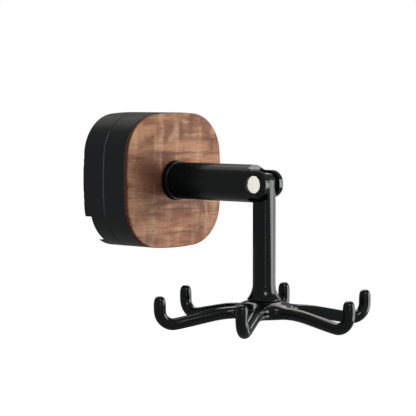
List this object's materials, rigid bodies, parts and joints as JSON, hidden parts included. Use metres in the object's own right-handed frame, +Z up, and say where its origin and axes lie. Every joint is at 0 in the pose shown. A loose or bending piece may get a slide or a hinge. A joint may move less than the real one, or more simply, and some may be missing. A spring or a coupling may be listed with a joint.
{
  "type": "folding wall hook hanger",
  "caption": "Wall hanger with a rounded-square black housing, walnut face, forked arm and a fold-up stem that carries a turning crown of upturned hooks.",
  "frame": {"origin": "centre of the back face, on the wall, level with the arm's axis", "axes": "+Y into the wall, -Y out into the room along the arm, +Z up, +X to the right for a person who faces the wall"},
  "size_m": [0.0908, 0.1375, 0.0971],
  "materials": {
    "foam": "closed-cell foam tape with glue on both faces",
    "plate_plastic": "moulded, fine matte grain",
    "shell_plastic": "satin black, fine moulded grain",
    "film": "clear adhesive film",
    "walnut": "oiled walnut, curly figure, grain across",
    "arm_black": "satin black powder coat",
    "gloss_black": "gloss black lacquer",
    "satin_steel": "satin ground",
    "plain_steel": "zinc plated",
    "bolt_steel": "blackened steel",
    "nylon": "natural nylon",
    "cap_plastic": "moulded black"
  },
  "bodies": {
    "wall_base": {"adhesive_pad": "foam", "wall_plate": "plate_plastic"},
    "housing": {"rear_shell": "shell_plastic", "front_shell": "shell_plastic", "shell_screws": "plain_steel", "face_film": "film", "wood_face": "walnut", "arm_collar": "arm_black", "arm": "arm_black", "backing_plate": "plain_steel", "arm_washer": "plain_steel", "lock_washer": "plain_steel", "arm_bolt": "bolt_steel", "hinge_pin": "satin_steel", "pin_caps": "satin_steel"},
    "stem": {"stem": "gloss_black", "pin_bush": "nylon", "hinge_washers": "nylon", "thrust_washer": "nylon", "crown_screw": "bolt_steel"},
    "crown": {"crown": "gloss_black", "crown_bush": "nylon", "crown_cap": "cap_plastic"}
  },
  "joints": [
    {"name": "housing_lift", "type": "slide", "parent": "wall_base", "child": "housing", "axis": [0, 0, 1], "range_m": [0, 0.0073]},
    {"name": "stem_fold", "type": "hinge", "parent": "housing", "child": "stem", "pos_m": [0, -0.0856, 0], "axis": [-1, 0, 0], "range_deg": [0, 180]},
    {"name": "crown_spin", "type": "hinge", "parent": "stem", "child": "crown", "pos_m": [0, -0.0856, -0.0565], "axis": [0, 0, 1], "continuous": true}
  ]
}
